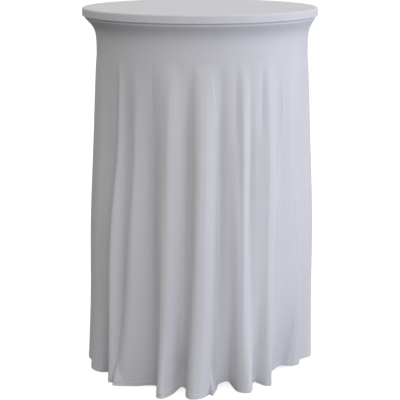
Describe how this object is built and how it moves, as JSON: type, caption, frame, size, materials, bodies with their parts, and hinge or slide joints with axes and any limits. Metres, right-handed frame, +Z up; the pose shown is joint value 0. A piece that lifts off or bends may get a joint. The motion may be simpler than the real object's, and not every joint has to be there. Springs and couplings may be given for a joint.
{
  "type": "fitted cloth on a pedestal table",
  "caption": "Round standing-height pedestal table under a fitted stretch cloth: smooth top, gathered rim and a wavy floor-length skirt.",
  "frame": {"origin": "on the floor under the middle of the tabletop", "axes": "+Z up, -Y the side the picture is taken from, +X to the right of that view"},
  "size_m": [0.712, 0.712, 1.1],
  "materials": {
    "stretch_cloth": "pale silver knitted stretch cloth, soft low sheen",
    "elastic_tape": "woven elastic tape, matt",
    "particle_board": "raw pressed board",
    "laminate": "satin pressed laminate",
    "edging": "satin black moulded edging",
    "black_coat": "fine-textured black powder coat",
    "cast_iron": "sand-cast, painted black",
    "zinc_steel": "bright zinc plate",
    "brass": "turned",
    "knob_plastic": "satin moulded",
    "pad_plastic": "matt moulded"
  },
  "bodies": {
    "pedestal": {"base_casting": "cast_iron", "column_tube": "black_coat", "column_collar": "zinc_steel", "column_plug": "cast_iron", "tie_rod": "zinc_steel", "rod_top_nut": "zinc_steel", "rod_foot_nut": "zinc_steel", "rod_foot_washer": "zinc_steel", "jam_nut_1": "zinc_steel", "jam_nut_2": "zinc_steel", "jam_nut_3": "zinc_steel", "jam_nut_4": "zinc_steel"},
    "top": {"core_board": "particle_board", "top_laminate": "laminate", "backing_laminate": "laminate", "edge_band": "edging", "fixing_plate": "black_coat", "plate_screw_1": "zinc_steel", "plate_screw_2": "zinc_steel", "plate_screw_3": "zinc_steel", "plate_screw_4": "zinc_steel", "plate_screw_5": "zinc_steel", "plate_screw_6": "zinc_steel", "plate_screw_7": "zinc_steel", "plate_screw_8": "zinc_steel", "column_socket": "black_coat", "clamp_boss": "black_coat", "cover_cap": "stretch_cloth", "seam_elastic": "elastic_tape", "skirt_gore_front": "stretch_cloth", "skirt_gore_right": "stretch_cloth", "skirt_gore_back": "stretch_cloth", "skirt_gore_left": "stretch_cloth"},
    "clamp_tip": {"clamp_tip": "brass"},
    "clamp_knob": {"clamp_knob": "knob_plastic", "clamp_screw": "zinc_steel"},
    "glide_pad_1": {"glide_pad_1": "pad_plastic"},
    "glide_stem_1": {"glide_stem_1": "zinc_steel"},
    "glide_pad_2": {"glide_pad_2": "pad_plastic"},
    "glide_stem_2": {"glide_stem_2": "zinc_steel"},
    "glide_pad_3": {"glide_pad_3": "pad_plastic"},
    "glide_stem_3": {"glide_stem_3": "zinc_steel"},
    "glide_pad_4": {"glide_pad_4": "pad_plastic"},
    "glide_stem_4": {"glide_stem_4": "zinc_steel"}
  },
  "joints": [
    {"name": "top_lift", "type": "slide", "parent": "pedestal", "child": "top", "axis": [0, 0, 1], "range_m": [0, 0.08]},
    {"name": "clamp_travel", "type": "slide", "parent": "top", "child": "clamp_tip", "axis": [1, 0, 0], "range_m": [0, 0.006]},
    {"name": "clamp_turn", "type": "hinge", "parent": "clamp_tip", "child": "clamp_knob", "pos_m": [0.06, 0, 1.0303], "axis": [1, 0, 0], "range_deg": [0, 1440]},
    {"name": "glide_1_travel", "type": "slide", "parent": "pedestal", "child": "glide_pad_1", "axis": [0, 0, -1], "range_m": [0, 0.01]},
    {"name": "glide_1_turn", "type": "hinge", "parent": "glide_pad_1", "child": "glide_stem_1", "pos_m": [0.275, 0, 0.012], "axis": [0, 0, -1], "range_deg": [0, 2880]},
    {"name": "glide_2_travel", "type": "slide", "parent": "pedestal", "child": "glide_pad_2", "axis": [0, 0, -1], "range_m": [0, 0.01]},
    {"name": "glide_2_turn", "type": "hinge", "parent": "glide_pad_2", "child": "glide_stem_2", "pos_m": [0, 0.275, 0.012], "axis": [0, 0, -1], "range_deg": [0, 2880]},
    {"name": "glide_3_travel", "type": "slide", "parent": "pedestal", "child": "glide_pad_3", "axis": [0, 0, -1], "range_m": [0, 0.01]},
    {"name": "glide_3_turn", "type": "hinge", "parent": "glide_pad_3", "child": "glide_stem_3", "pos_m": [-0.275, 0, 0.012], "axis": [0, 0, -1], "range_deg": [0, 2880]},
    {"name": "glide_4_travel", "type": "slide", "parent": "pedestal", "child": "glide_pad_4", "axis": [0, 0, -1], "range_m": [0, 0.01]},
    {"name": "glide_4_turn", "type": "hinge", "parent": "glide_pad_4", "child": "glide_stem_4", "pos_m": [0, -0.275, 0.012], "axis": [0, 0, -1], "range_deg": [0, 2880]}
  ],
  "couplings": [
    {"joint": "clamp_travel", "follows": "clamp_turn", "m_per_rad": 0.00023873},
    {"joint": "glide_1_turn", "follows": "glide_1_travel", "rad_per_m": 5026.5},
    {"joint": "glide_2_turn", "follows": "glide_2_travel", "rad_per_m": 5026.5},
    {"joint": "glide_3_turn", "follows": "glide_3_travel", "rad_per_m": 5026.5},
    {"joint": "glide_4_turn", "follows": "glide_4_travel", "rad_per_m": 5026.5}
  ]
}
